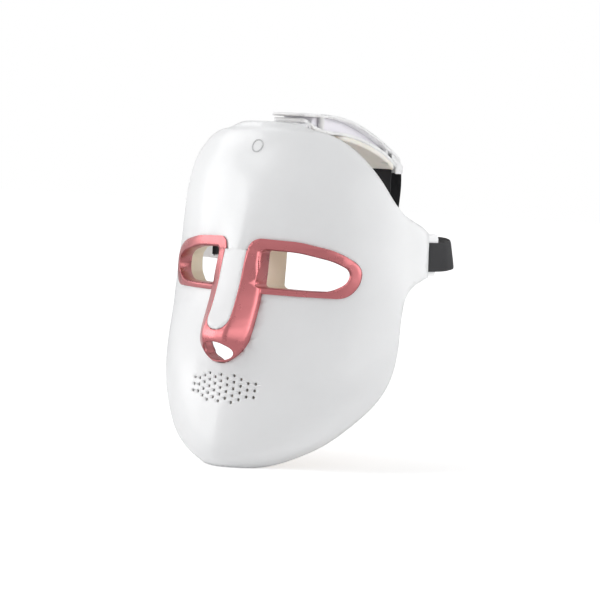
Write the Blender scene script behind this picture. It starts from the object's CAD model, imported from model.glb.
"""Looks of the light mask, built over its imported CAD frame. Everything is in metres, in the row frame."""
import math
import bpy
import bmesh
from mathutils import Matrix, Vector

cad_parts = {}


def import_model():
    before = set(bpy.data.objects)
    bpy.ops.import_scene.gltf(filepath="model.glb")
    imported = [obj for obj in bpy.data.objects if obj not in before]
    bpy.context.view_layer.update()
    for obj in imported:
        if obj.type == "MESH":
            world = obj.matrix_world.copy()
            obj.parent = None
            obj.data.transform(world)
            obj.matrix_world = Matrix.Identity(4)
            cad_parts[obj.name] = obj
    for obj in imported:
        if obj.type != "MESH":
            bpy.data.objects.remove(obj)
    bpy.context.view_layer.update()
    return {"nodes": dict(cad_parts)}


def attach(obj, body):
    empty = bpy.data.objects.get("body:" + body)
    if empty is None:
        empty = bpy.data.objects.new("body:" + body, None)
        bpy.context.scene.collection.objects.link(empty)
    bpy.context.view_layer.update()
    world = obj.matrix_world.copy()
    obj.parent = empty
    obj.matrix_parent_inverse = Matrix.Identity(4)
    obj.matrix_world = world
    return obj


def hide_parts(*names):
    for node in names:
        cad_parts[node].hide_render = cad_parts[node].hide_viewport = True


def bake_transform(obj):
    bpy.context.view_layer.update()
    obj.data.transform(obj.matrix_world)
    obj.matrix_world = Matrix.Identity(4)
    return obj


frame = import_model()
NODES = frame["nodes"]
MM = 0.001
HEAD = Vector((0.0, 95.0, 140.0))      # row origin in the model's own chin-based millimetres


def at(x, y, z):
    """A point given in chin-based millimetres, in the row frame."""
    return (Vector((x, y, z)) - HEAD) * MM


# ---------------------------------------------------------------- materials
def new_material(name):
    m = bpy.data.materials.new(name)
    m.use_nodes = True
    t = m.node_tree
    return m, t, t.nodes["Principled BSDF"]


def noise(t, scale, detail=4.0, rough=0.55, stretch=(1, 1, 1)):
    """Noise over object space; scale is features per metre."""
    coord = t.nodes.new("ShaderNodeTexCoord")
    mapping = t.nodes.new("ShaderNodeMapping")
    mapping.inputs["Scale"].default_value = stretch
    tex = t.nodes.new("ShaderNodeTexNoise")
    tex.inputs["Scale"].default_value = scale
    tex.inputs["Detail"].default_value = detail
    tex.inputs["Roughness"].default_value = rough
    t.links.new(coord.outputs["Object"], mapping.inputs["Vector"])
    t.links.new(mapping.outputs["Vector"], tex.inputs["Vector"])
    return tex.outputs["Fac"]


def ramp(t, fac, stops):
    node = t.nodes.new("ShaderNodeValToRGB")
    e = node.color_ramp.elements
    e[0].position, e[0].color = stops[0][0], (*stops[0][1], 1)
    e[1].position, e[1].color = stops[-1][0], (*stops[-1][1], 1)
    for pos, col in stops[1:-1]:
        k = e.new(pos)
        k.color = (*col, 1)
    t.links.new(fac, node.inputs["Fac"])
    return node.outputs["Color"]


def spread(t, fac, low, high):
    node = t.nodes.new("ShaderNodeMapRange")
    node.inputs["From Min"].default_value = 0.3
    node.inputs["From Max"].default_value = 0.7
    node.inputs["To Min"].default_value = low
    node.inputs["To Max"].default_value = high
    t.links.new(fac, node.inputs["Value"])
    return node.outputs["Result"]


def bump(t, shader, height, strength, distance):
    node = t.nodes.new("ShaderNodeBump")
    node.inputs["Strength"].default_value = strength
    node.inputs["Distance"].default_value = distance
    t.links.new(height, node.inputs["Height"])
    t.links.new(node.outputs["Normal"], shader.inputs["Normal"])


def shade(c, k):
    return tuple(min(1.0, v * k) for v in c)


def moulded(name, color, rough=0.35, vary=0.03, grain=1400.0, depth=0.00003, coat=0.0,
            coat_rough=0.1, sub=0.0, sub_radius=(0.004, 0.003, 0.002), metallic=0.0):
    """Moulded plastic, rubber or metal: slow tone drift, gloss that varies, a fine surface grain."""
    m, t, s = new_material(name)
    slow = noise(t, 28.0, 3.0)
    stops = ((0.32, shade(color, 1 - vary)), (0.5, color), (0.68, shade(color, 1 + vary * 0.7)))
    tone = ramp(t, slow, stops)
    t.links.new(tone, s.inputs["Base Color"])
    t.links.new(spread(t, noise(t, 160.0, 5.0), rough - 0.045, rough + 0.045), s.inputs["Roughness"])
    bump(t, s, noise(t, grain, 2.0), 0.35, depth)
    s.inputs["Metallic"].default_value = metallic
    s.inputs["Specular IOR Level"].default_value = 0.5
    s.inputs["Coat Weight"].default_value = coat
    s.inputs["Coat Roughness"].default_value = coat_rough
    s.inputs["Subsurface Weight"].default_value = sub
    s.inputs["Subsurface Radius"].default_value = sub_radius
    s.inputs["Subsurface Scale"].default_value = 1.0
    return m


def woven(name, color, sheen=0.25, rough=0.85, pitch=900.0):
    """Elastic webbing: crossing threads in relief with a slightly uneven dye."""
    m, t, s = new_material(name)
    coord = t.nodes.new("ShaderNodeTexCoord")
    uv = coord.outputs["UV"]
    waves = []
    for direction in ("X", "Y"):
        w = t.nodes.new("ShaderNodeTexWave")
        w.wave_type = "BANDS"
        w.bands_direction = direction
        w.inputs["Scale"].default_value = pitch
        w.inputs["Distortion"].default_value = 0.6
        w.inputs["Detail"].default_value = 1.0
        t.links.new(uv, w.inputs["Vector"])
        waves.append(w.outputs["Fac"])
    mul = t.nodes.new("ShaderNodeMath")
    mul.operation = "MULTIPLY"
    t.links.new(waves[0], mul.inputs[0])
    t.links.new(waves[1], mul.inputs[1])
    mix = t.nodes.new("ShaderNodeMix")
    mix.data_type = "RGBA"
    mix.inputs[6].default_value = (*shade(color, 0.55), 1)
    mix.inputs[7].default_value = (*shade(color, 1.45), 1)
    t.links.new(mul.outputs[0], mix.inputs[0])
    drift = ramp(t, noise(t, 90.0, 4.0), ((0.3, (0.82, 0.82, 0.84)), (0.7, (1.0, 1.0, 1.0))))
    tint = t.nodes.new("ShaderNodeMix")
    tint.data_type = "RGBA"
    tint.blend_type = "MULTIPLY"
    tint.inputs[0].default_value = 1.0
    t.links.new(mix.outputs[2], tint.inputs[6])
    t.links.new(drift, tint.inputs[7])
    t.links.new(tint.outputs[2], s.inputs["Base Color"])
    s.inputs["Roughness"].default_value = rough
    s.inputs["Sheen Weight"].default_value = sheen
    s.inputs["Sheen Roughness"].default_value = 0.45
    s.inputs["Specular IOR Level"].default_value = 0.25
    bump(t, s, mul.outputs[0], 0.6, 0.00015)
    return m


def brushed(name, color, rough=0.3):
    """Turned or brushed metal with fine lines along one axis."""
    m, t, s = new_material(name)
    lines = noise(t, 700.0, 3.0, 0.6, (1.0, 0.06, 1.0))
    tone = ramp(t, lines, ((0.3, shade(color, 0.86)), (0.7, shade(color, 1.08))))
    t.links.new(tone, s.inputs["Base Color"])
    t.links.new(spread(t, lines, rough - 0.08, rough + 0.08), s.inputs["Roughness"])
    bump(t, s, lines, 0.2, 0.00003)
    s.inputs["Metallic"].default_value = 1.0
    return m


def lens(name, color, rough=0.08, clear=0.6):
    """Clear moulding over a lamp or light pipe."""
    m, t, s = new_material(name)
    tone = ramp(t, noise(t, 500.0, 2.0), ((0.3, shade(color, 0.93)), (0.7, color)))
    t.links.new(tone, s.inputs["Base Color"])
    t.links.new(spread(t, noise(t, 300.0, 3.0), rough, rough + 0.06), s.inputs["Roughness"])
    s.inputs["Transmission Weight"].default_value = clear
    s.inputs["IOR"].default_value = 1.46
    return m


def circuit(name, color, copper):
    """Solder mask with faint tracks under it."""
    m, t, s = new_material(name)
    coord = t.nodes.new("ShaderNodeTexCoord")
    bricks = t.nodes.new("ShaderNodeTexBrick")
    bricks.inputs["Scale"].default_value = 160.0
    bricks.inputs["Mortar Size"].default_value = 0.06
    bricks.inputs["Color1"].default_value = (*color, 1)
    bricks.inputs["Color2"].default_value = (*shade(color, 0.9), 1)
    bricks.inputs["Mortar"].default_value = (*copper, 1)
    t.links.new(coord.outputs["Object"], bricks.inputs["Vector"])
    t.links.new(bricks.outputs["Color"], s.inputs["Base Color"])
    t.links.new(spread(t, noise(t, 200.0), 0.3, 0.42), s.inputs["Roughness"])
    bump(t, s, bricks.outputs["Fac"], 0.3, 0.00004)
    return m


WHITE_DEPTH = (0.005, 0.005, 0.005)    # how far light spreads inside the white plastic
SHELL = moulded("satin_white_shell", (0.88, 0.885, 0.89), 0.34, 0.012, 2200.0, 0.00001, coat=0.25,
                coat_rough=0.16, sub=0.35, sub_radius=WHITE_DEPTH)
ARCH = moulded("gloss_white_arch", (0.95, 0.95, 0.955), 0.3, 0.012, 2200.0, 0.000005, coat=0.3,
               coat_rough=0.1, sub=0.4, sub_radius=WHITE_DEPTH)
LUG = moulded("white_lug", (0.94, 0.94, 0.945), 0.4, 0.015, 1800.0, 0.00001)
LILAC = moulded("lilac_core", (0.88, 0.86, 0.91), 0.45, 0.03, 1600.0, 0.00002)
ROSE = moulded("rose_metal", (0.55, 0.175, 0.185), 0.3, 0.04, 900.0, 0.00001, metallic=0.75)
MARK = moulded("grey_print", (0.60, 0.60, 0.61), 0.5, 0.05, 2000.0, 0.00001)
PANEL = moulded("beige_panel", (0.62, 0.50, 0.38), 0.38, 0.03, 1500.0, 0.00002, sub=0.12)
SEAL = moulded("beige_seal", (0.60, 0.50, 0.40), 0.6, 0.04, 1200.0, 0.00004, sub=0.1)
SHIELD = moulded("tan_shield", (0.92, 0.82, 0.66), 0.5, 0.04, 1200.0, 0.00004, sub=0.12)
PAD = moulded("cream_pad", (0.93, 0.89, 0.82), 0.62, 0.03, 1300.0, 0.00005, sub=0.3)
BLACK = moulded("black_moulded", (0.022, 0.022, 0.024), 0.42, 0.2, 1500.0, 0.00004)
BOARD = circuit("light_board_mask", (0.62, 0.60, 0.58), (0.70, 0.55, 0.42))
PCB = circuit("green_board", (0.02, 0.14, 0.07), (0.10, 0.30, 0.14))
CHIP = moulded("chip_epoxy", (0.025, 0.025, 0.028), 0.55, 0.2, 3000.0, 0.00003)
CELL = moulded("cell_wrap", (0.22, 0.33, 0.46), 0.3, 0.06, 500.0, 0.00004)
SWITCH = moulded("switch_body", (0.03, 0.03, 0.032), 0.5, 0.2, 2500.0, 0.00003)
BUTTON = moulded("button_satin", (0.72, 0.72, 0.76), 0.42, 0.03, 2500.0, 0.00002)
BRACKET = moulded("white_bracket", (0.82, 0.82, 0.84), 0.5, 0.02, 1700.0, 0.00002)
STEEL = brushed("plain_steel", (0.62, 0.63, 0.65), 0.3)
LAMP = lens("lamp_lens", (0.95, 0.88, 0.86), 0.1, 0.35)
PIPE = lens("light_pipe", (0.92, 0.95, 1.0), 0.06, 0.8)
WEBBING = woven("ribbed_webbing", (0.024, 0.024, 0.027))
HOOK = woven("hook_tape", (0.02, 0.02, 0.022), 0.1, 0.95, 1500.0)

FINISH = {
    "front_shell": SHELL, "eye_nose_bezel": ROSE, "forehead_mark": MARK, "light_board": BOARD,
    "light_emitters": LAMP, "inner_panel": PANEL, "charging_jack": BLACK, "ear_lug_left": LUG,
    "ear_lug_right": LUG, "lug_screws": STEEL, "back_keeper": BLACK, "hinge_bracket": BRACKET,
    "bracket_screws": STEEL, "hinge_pin": STEEL, "arch_top_cover": ARCH, "arch_low_frame": ARCH,
    "arch_core": LILAC, "arch_end_block": ARCH, "arch_screws": STEEL, "battery": CELL,
    "control_board": PCB, "board_chips": CHIP, "button_switch": SWITCH, "power_button": BUTTON,
    "status_lens": PIPE, "rim_seal": SEAL, "eye_shield_left": SHIELD, "eye_shield_right": SHIELD,
    "forehead_pad": PAD, "arch_pad": PAD, "side_strap_left": WEBBING, "side_strap_right": WEBBING,
    "crown_strap": WEBBING, "hook_tab_left": HOOK, "hook_tab_right": HOOK,
}


def paint(obj, material):
    obj.data.materials.clear()
    obj.data.materials.append(material)


def smooth(obj, angle=32.0):
    """Soft shading that keeps real corners."""
    for p in obj.data.polygons:
        p.use_smooth = True
    obj.data.set_sharp_from_angle(angle=math.radians(angle))


WELD_GAP = 0.000002
EVEN_WEIGHT = 60
EDGE_ROUND = {     # millimetres
    "ear_lug_left": 0.35, "ear_lug_right": 0.35, "back_keeper": 0.35, "hinge_bracket": 0.3,
}


def keep_cad():
    """Every CAD node gets its finish and even shading, and the ones in EDGE_ROUND get rounded edges."""
    for name, obj in NODES.items():
        paint(obj, FINISH[name])
        weld = obj.modifiers.new("weld", "WELD")
        weld.merge_threshold = WELD_GAP
        if name in EDGE_ROUND:
            b = obj.modifiers.new("edge", "BEVEL")
            b.width = EDGE_ROUND[name] * MM
            b.segments = 2
            b.limit_method = "ANGLE"
            b.angle_limit = math.radians(50)
            b.use_clamp_overlap = True
            b.harden_normals = False
        smooth(obj, 30.0)
        even = obj.modifiers.new("even_shading", "WEIGHTED_NORMAL")
        even.weight = EVEN_WEIGHT
        even.keep_sharp = True


keep_cad()


# ---------------------------------------------------------------- soft pieces
def softened(node, body, voxel, passes):
    """A soft part: the CAD solid's volume with its edges relaxed, standing for that node."""
    src = NODES[node]
    obj = bpy.data.objects.new(node + "_soft", src.data.copy())
    bpy.context.scene.collection.objects.link(obj)
    r = obj.modifiers.new("remesh", "REMESH")
    r.mode = "VOXEL"
    r.voxel_size = voxel * MM
    r.use_smooth_shade = True
    s = obj.modifiers.new("relax", "SMOOTH")
    s.factor = 0.5
    s.iterations = passes
    dep = bpy.context.evaluated_depsgraph_get()
    mesh = bpy.data.meshes.new_from_object(obj.evaluated_get(dep))
    obj.modifiers.clear()
    obj.data = mesh
    for p in mesh.polygons:
        p.use_smooth = True
    paint(obj, FINISH[node])
    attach(obj, body)
    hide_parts(node)
    return obj


softened("rim_seal", "mask", 0.8, 4)
softened("forehead_pad", "mask", 0.8, 6)
softened("arch_pad", "arch", 0.9, 6)
for side in ("left", "right"):
    softened("eye_shield_" + side, "mask", 0.45, 5)


# ---------------------------------------------------------------- webbing
def through(points, step):
    """Evenly spaced points on a smooth curve through the given ones."""
    pts = [points[0] * 2 - points[1]] + points + [points[-1] * 2 - points[-2]]
    dense = []
    for a, b, c, d in zip(pts, pts[1:], pts[2:], pts[3:]):
        for k in range(24):
            u = k / 24
            dense.append(0.5 * ((2 * b) + (c - a) * u + (2 * a - 5 * b + 4 * c - d) * u * u
                                + (3 * b - a - 3 * c + d) * u ** 3))
    dense.append(points[-1])
    total = [0.0]
    for a, b in zip(dense, dense[1:]):
        total.append(total[-1] + (b - a).length)
    count = max(8, int(total[-1] / step))
    out, i = [], 0
    for k in range(count + 1):
        want = total[-1] * k / count
        while i < len(total) - 2 and total[i + 1] < want:
            i += 1
        span = total[i + 1] - total[i] or 1e-9
        out.append(dense[i].lerp(dense[i + 1], (want - total[i]) / span))
    return out, total[-1]


def webbing(name, points, width, thick, across, tilt=None, rib=1.15):
    """Flat ribbed strap swept along a path. tilt(k) leans the width outward, k from 0 to 1."""
    line, length = through(points, 0.3 * MM)
    n = len(line)
    half, t = width / 2, thick / 2
    ring = []
    cols = 18
    for i in range(cols + 1):
        v = -1 + 2 * i / cols
        ring.append((v * half * 0.985, t * (1 - 0.55 * abs(v) ** 10)))
    ring += [(-v, -h) for v, h in ring]
    mesh = bmesh.new()
    uv_layer = mesh.loops.layers.uv.new("weave")
    rows, places = [], []
    for k, p in enumerate(line):
        tangent = (line[min(k + 1, n - 1)] - line[max(k - 1, 0)]).normalized()
        lean = across.copy()
        if tilt:
            out = tangent.cross(across).normalized()
            lean = (across + out * tilt(k / (n - 1))).normalized()
        normal = tangent.cross(lean).normalized()
        s = k / (n - 1) * length
        swell = 0.055 * MM * math.cos(2 * math.pi * s / (rib * MM))
        end = min(1.0, min(k, n - 1 - k) / 3.0 + 0.35)
        row = []
        for v, h in ring:
            relief = math.copysign(swell, h) * (1 - abs(v / half) ** 6)
            row.append(mesh.verts.new(p + lean * v + normal * (h * end + relief)))
        rows.append(row)
        places.append(s)
    m = len(ring)
    for k in range(n - 1):
        for j in range(m):
            here, there, after = rows[k], rows[k + 1], (j + 1) % m
            face = mesh.faces.new((here[j], here[after], there[after], there[j]))
            face.smooth = True
            for loop, (kk, jj) in zip(face.loops, ((k, j), (k, j + 1), (k + 1, j + 1), (k + 1, j))):
                loop[uv_layer].uv = (places[kk], ring[jj % m][0])
    mesh.faces.new(rows[0][::-1])
    mesh.faces.new(rows[-1])
    bmesh.ops.recalc_face_normals(mesh, faces=mesh.faces)
    data = bpy.data.meshes.new(name)
    mesh.to_mesh(data)
    mesh.free()
    obj = bpy.data.objects.new(name, data)
    bpy.context.scene.collection.objects.link(obj)
    return obj


UP = Vector((0, 0, 1))
RIGHT = Vector((1, 0, 0))
STRAP_Z = 150.9
BUCKLE_Z = 149.5
SIDE_WIDTH, SIDE_THICK = 21.0 * MM, 1.3 * MM
TAB_WIDTH, TAB_THICK, TAB_RIB = 19.0 * MM, 1.1 * MM, 0.9
CROWN_WIDTH, CROWN_THICK = 30.0 * MM, 1.3 * MM
SIDE_LEAN, LEAN_CENTRE, LEAN_REACH = -0.2, 0.5, 0.16


def side_path(sign):
    """The wearer's left side strap through its lug and round to the buckle, as the CAD part has it."""
    z, zb = STRAP_Z, BUCKLE_Z
    pts = ((88.1, 141.0, z), (88.7, 127.0, z), (88.7, 111.0, z), (89.4, 107.4, z), (91.2, 106.3, z),
           (93.0, 107.4, z), (93.7, 111.0, z), (93.7, 127.0, z), (93.1, 138.0, z + 0.6),
           (89.5, 151.0, z + 1.8), (76.0, 167.0, z + 3.0), (53.0, 181.0, z + 2.6),
           (28.0, 190.0, zb + 1.0), (18.0, 192.6, zb + 0.2), (14.6, 194.6, zb), (12.6, 197.0, zb),
           (10.0, 198.6, zb), (2.5, 199.0, zb))
    return [at(sign * x, y, h) for x, y, h in pts]


def bell(k, centre, reach):
    d = (k - centre) / reach
    return math.exp(-d * d)


for side, sign in (("left", 1), ("right", -1)):
    strap = webbing("side_strap_%s_web" % side, side_path(sign), SIDE_WIDTH, SIDE_THICK, UP,
                    lambda k, s=sign: SIDE_LEAN * bell(k, LEAN_CENTRE, LEAN_REACH) * s)
    paint(strap, WEBBING)
    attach(strap, "mask")
    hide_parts("side_strap_" + side)
    patch = [at(sign * x, y, STRAP_Z) for x, y in ((90.45, 128.0), (90.4, 134.0), (90.1, 139.6))]
    tab = webbing("hook_tab_%s_patch" % side, patch, TAB_WIDTH, TAB_THICK, UP, None, TAB_RIB)
    paint(tab, HOOK)
    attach(tab, "mask")
    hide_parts("hook_tab_" + side)


def crown_path():
    y0, y1, z0, z1 = 188.6, 198.4, 210.0, 215.2
    y, z = 196.0, BUCKLE_Z
    path = ((y0 - 1.2, z0 - 22), (y0 - 2.0, z0 - 12), (y0 - 2.0, z0), (y0 - 0.8, z1 + 0.6),
            (y0 + 2.6, z1 + 2.1), (y1 - 2.6, z1 + 2.1), (y1 + 1.6, z1 + 0.3), (y1 + 3.4, z1 - 5.0),
            (y1 + 4.4, z1 - 16), (y + 5.2, z + 35), (y + 3.0, z + 24),
            (y + 2.5, z + 17), (y + 1.6, z + 14.6), (y + 0.2, z + 13.9), (y - 1.4, z + 14.6),
            (y - 2.2, z + 17), (y - 2.3, z + 24), (y - 2.4, z + 30))
    return [at(0, a, b) for a, b in path]


crown = webbing("crown_strap_web", crown_path(), CROWN_WIDTH, CROWN_THICK, RIGHT)
paint(crown, WEBBING)
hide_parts("crown_strap")
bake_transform(crown)


# ---------------------------------------------------------------- floor, light, camera
WORLD_LIGHT = 0.23
BOUNCE_GLOW = 0.055
CARD_GLOW = 0.75       # what shiny parts see around the softboxes
FLOOR_GLOW = 0.5
FAR_GLOW = 0.95
GLOW_FROM, GLOW_TO = 0.25, 1.6     # metres from the object over which the floor brightens
FLOOR_REACH = 14.0
BOUNCE_DROP = 0.6


def area_light(name, place, aim, size, power):
    data = bpy.data.lights.new(name, "AREA")
    data.shape = "RECTANGLE"
    data.size, data.size_y = size
    data.energy = power
    obj = bpy.data.objects.new(name, data)
    obj.location = place
    obj.rotation_euler = (Vector(aim) - Vector(place)).to_track_quat("-Z", "Y").to_euler()
    bpy.context.scene.collection.objects.link(obj)
    return obj


def floor(name, drop, glow, far_glow):
    """Pale ground. One sheet is what the camera sees, the one under it is what lights the object."""
    mesh = bmesh.new()
    z = at(0, 0, -0.5 - drop).z
    rows = []
    for k in range(33):
        r = 0.02 * (k / 32) ** 0.5 + FLOOR_REACH * (k / 32) ** 2
        rows.append([mesh.verts.new((r * math.cos(a), r * math.sin(a), z))
                     for a in [2 * math.pi * j / 64 for j in range(64)]])
    for a, b in zip(rows, rows[1:]):
        for j in range(64):
            mesh.faces.new((a[j], a[(j + 1) % 64], b[(j + 1) % 64], b[j])).smooth = True
    mesh.faces.new(rows[0])
    data = bpy.data.meshes.new(name)
    mesh.to_mesh(data)
    mesh.free()
    obj = bpy.data.objects.new(name, data)
    bpy.context.scene.collection.objects.link(obj)
    m, t, s = new_material("pale_" + name)
    tone = ramp(t, noise(t, 3.0), ((0.3, (0.90, 0.90, 0.90)), (0.7, (0.92, 0.92, 0.92))))
    t.links.new(tone, s.inputs["Base Color"])
    s.inputs["Roughness"].default_value = 0.9
    s.inputs["Specular IOR Level"].default_value = 0.1
    s.inputs["Emission Color"].default_value = (1, 1, 1, 1)
    coord = t.nodes.new("ShaderNodeTexCoord")
    reach = t.nodes.new("ShaderNodeVectorMath")
    reach.operation = "LENGTH"
    t.links.new(coord.outputs["Object"], reach.inputs[0])
    rise = t.nodes.new("ShaderNodeMapRange")
    rise.inputs["From Min"].default_value = GLOW_FROM
    rise.inputs["From Max"].default_value = GLOW_TO
    rise.inputs["To Min"].default_value = glow
    rise.inputs["To Max"].default_value = far_glow
    t.links.new(reach.outputs["Value"], rise.inputs["Value"])
    t.links.new(rise.outputs["Result"], s.inputs["Emission Strength"])
    obj.data.materials.append(m)
    return obj


def world():
    w = bpy.data.worlds.new("studio")
    bpy.context.scene.world = w
    w.use_nodes = True
    t = w.node_tree
    lit = t.nodes["Background"]
    lit.inputs["Color"].default_value = (0.97, 0.98, 1.0, 1)
    lit.inputs["Strength"].default_value = WORLD_LIGHT
    seen = t.nodes.new("ShaderNodeBackground")
    seen.inputs["Color"].default_value = (1, 1, 1, 1)
    seen.inputs["Strength"].default_value = 1.0
    cards = t.nodes.new("ShaderNodeBackground")
    cards.inputs["Color"].default_value = (1, 1, 1, 1)
    cards.inputs["Strength"].default_value = CARD_GLOW
    path = t.nodes.new("ShaderNodeLightPath")
    shine = t.nodes.new("ShaderNodeMixShader")
    t.links.new(path.outputs["Is Glossy Ray"], shine.inputs["Fac"])
    t.links.new(lit.outputs["Background"], shine.inputs[1])
    t.links.new(cards.outputs["Background"], shine.inputs[2])
    mix = t.nodes.new("ShaderNodeMixShader")
    t.links.new(path.outputs["Is Camera Ray"], mix.inputs["Fac"])
    t.links.new(shine.outputs["Shader"], mix.inputs[1])
    t.links.new(seen.outputs["Background"], mix.inputs[2])
    t.links.new(mix.outputs["Shader"], t.nodes["World Output"].inputs["Surface"])


TARGET = Vector((0.0, -0.05, -0.02))
# softboxes: name, azimuth from the nose (+ to the wearer's left), elevation, distance, size, watts
# The watts, WORLD_LIGHT and BOUNCE_GLOW were not chosen by hand. They are the rounded and scaled
# result of a separate least-squares fit of single-light renders to the reference's shell brightness.
SOFTBOXES = (
    ("side_far", -75, 15, 1.8, 1.0, 7.0),
    ("key_left", -40, 15, 1.8, 1.0, 9.5),
    ("high_left", -40, 55, 1.8, 1.0, 8.5),
    ("side_near", 75, 15, 1.8, 1.0, 5.1),
    ("rim_right", 105, 15, 1.8, 1.0, 8.3),
    ("rim_back", 140, 15, 1.8, 1.0, 3.7),
    ("high_right", 90, 55, 1.8, 1.0, 2.6),
)
for label, turn, lift, away, width, watts in SOFTBOXES:
    a, e = math.radians(turn), math.radians(lift)
    way = Vector((math.sin(a) * math.cos(e), -math.cos(a) * math.cos(e), math.sin(e)))
    area_light(label, TARGET + way * away, TARGET, (width, width), watts)
ground = floor("floor", 0.0, FLOOR_GLOW, FAR_GLOW)
ground.visible_diffuse = False
ground.visible_glossy = False
ground.visible_shadow = False
card = floor("bounce", BOUNCE_DROP, BOUNCE_GLOW, BOUNCE_GLOW)
card.visible_camera = False
world()
bpy.context.scene.view_settings.view_transform = "Standard"
bpy.context.scene.view_settings.look = "None"


# The view's lift, roll, offsets and lens were not chosen by hand either. A separate optimiser fitted
# them to points marked on the reference, at a turn of 32 degrees and a distance of 1.4 m.
# The lens is its focal length of 2027.26 for an image 600 wide, times the sensor's width.
VIEW_TURN, VIEW_LIFT, VIEW_ROLL = 32.0, 3.37, 3.35     # degrees
VIEW_AWAY, VIEW_RIGHT, VIEW_DOWN = 1.4, 0.04739, 0.00504
SENSOR, LENS = 36.0, 121.6356


def camera():
    az, el, roll = math.radians(VIEW_TURN), math.radians(VIEW_LIFT), math.radians(VIEW_ROLL)
    back = Vector((math.sin(az) * math.cos(el), -math.cos(az) * math.cos(el), math.sin(el)))
    right = Vector((math.cos(az), math.sin(az), 0.0))
    up = back.cross(right)
    r = right * math.cos(roll) + up * math.sin(roll)
    u = up * math.cos(roll) - right * math.sin(roll)
    place = at(0, 0, 120) + back * VIEW_AWAY + r * VIEW_RIGHT - u * VIEW_DOWN
    data = bpy.data.cameras.new("view")
    data.sensor_width = SENSOR
    data.lens = LENS
    data.clip_end = 40.0
    obj = bpy.data.objects.new("view", data)
    obj.matrix_world = Matrix(((r.x, u.x, back.x, place.x), (r.y, u.y, back.y, place.y),
                               (r.z, u.z, back.z, place.z), (0, 0, 0, 1)))
    bpy.context.scene.collection.objects.link(obj)
    bpy.context.scene.camera = obj


camera()
